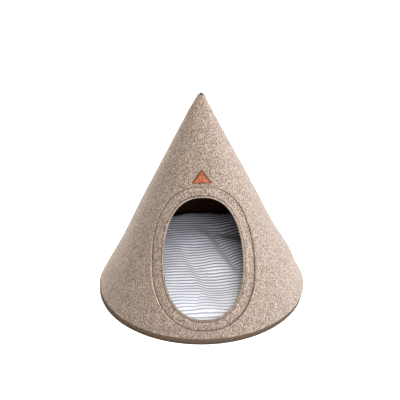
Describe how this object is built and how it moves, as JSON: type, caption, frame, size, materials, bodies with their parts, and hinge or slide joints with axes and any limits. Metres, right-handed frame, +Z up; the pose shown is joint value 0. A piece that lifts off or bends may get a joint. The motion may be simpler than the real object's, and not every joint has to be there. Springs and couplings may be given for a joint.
{
  "type": "dog cave bed",
  "caption": "Cone-shaped felt den for a small dog on a round base, with an oval faced doorway, a striped floor cushion and a plain leather label.",
  "frame": {"origin": "on the floor under the middle of the round base", "axes": "+Z up to the cone's tip, -Y out of the doorway, +X to the right of someone who faces the doorway"},
  "size_m": [0.5513, 0.5498, 0.559],
  "materials": {
    "base_felt": "dense dark brown felt, matt",
    "wall_felt": "thick heathered beige wool felt, matt",
    "facing_felt": "thick heathered beige wool felt, matt",
    "striped_cotton": "white cotton with narrow blue-grey woven stripes",
    "label_leather": "smooth tan leather with burnished edges",
    "tip_felt": "dark brown felt, matt"
  },
  "bodies": {
    "root": {"base": "base_felt", "cone_wall": "wall_felt", "door_facing": "facing_felt", "cushion": "striped_cotton", "label": "label_leather", "tip": "tip_felt"}
  },
  "joints": []
}
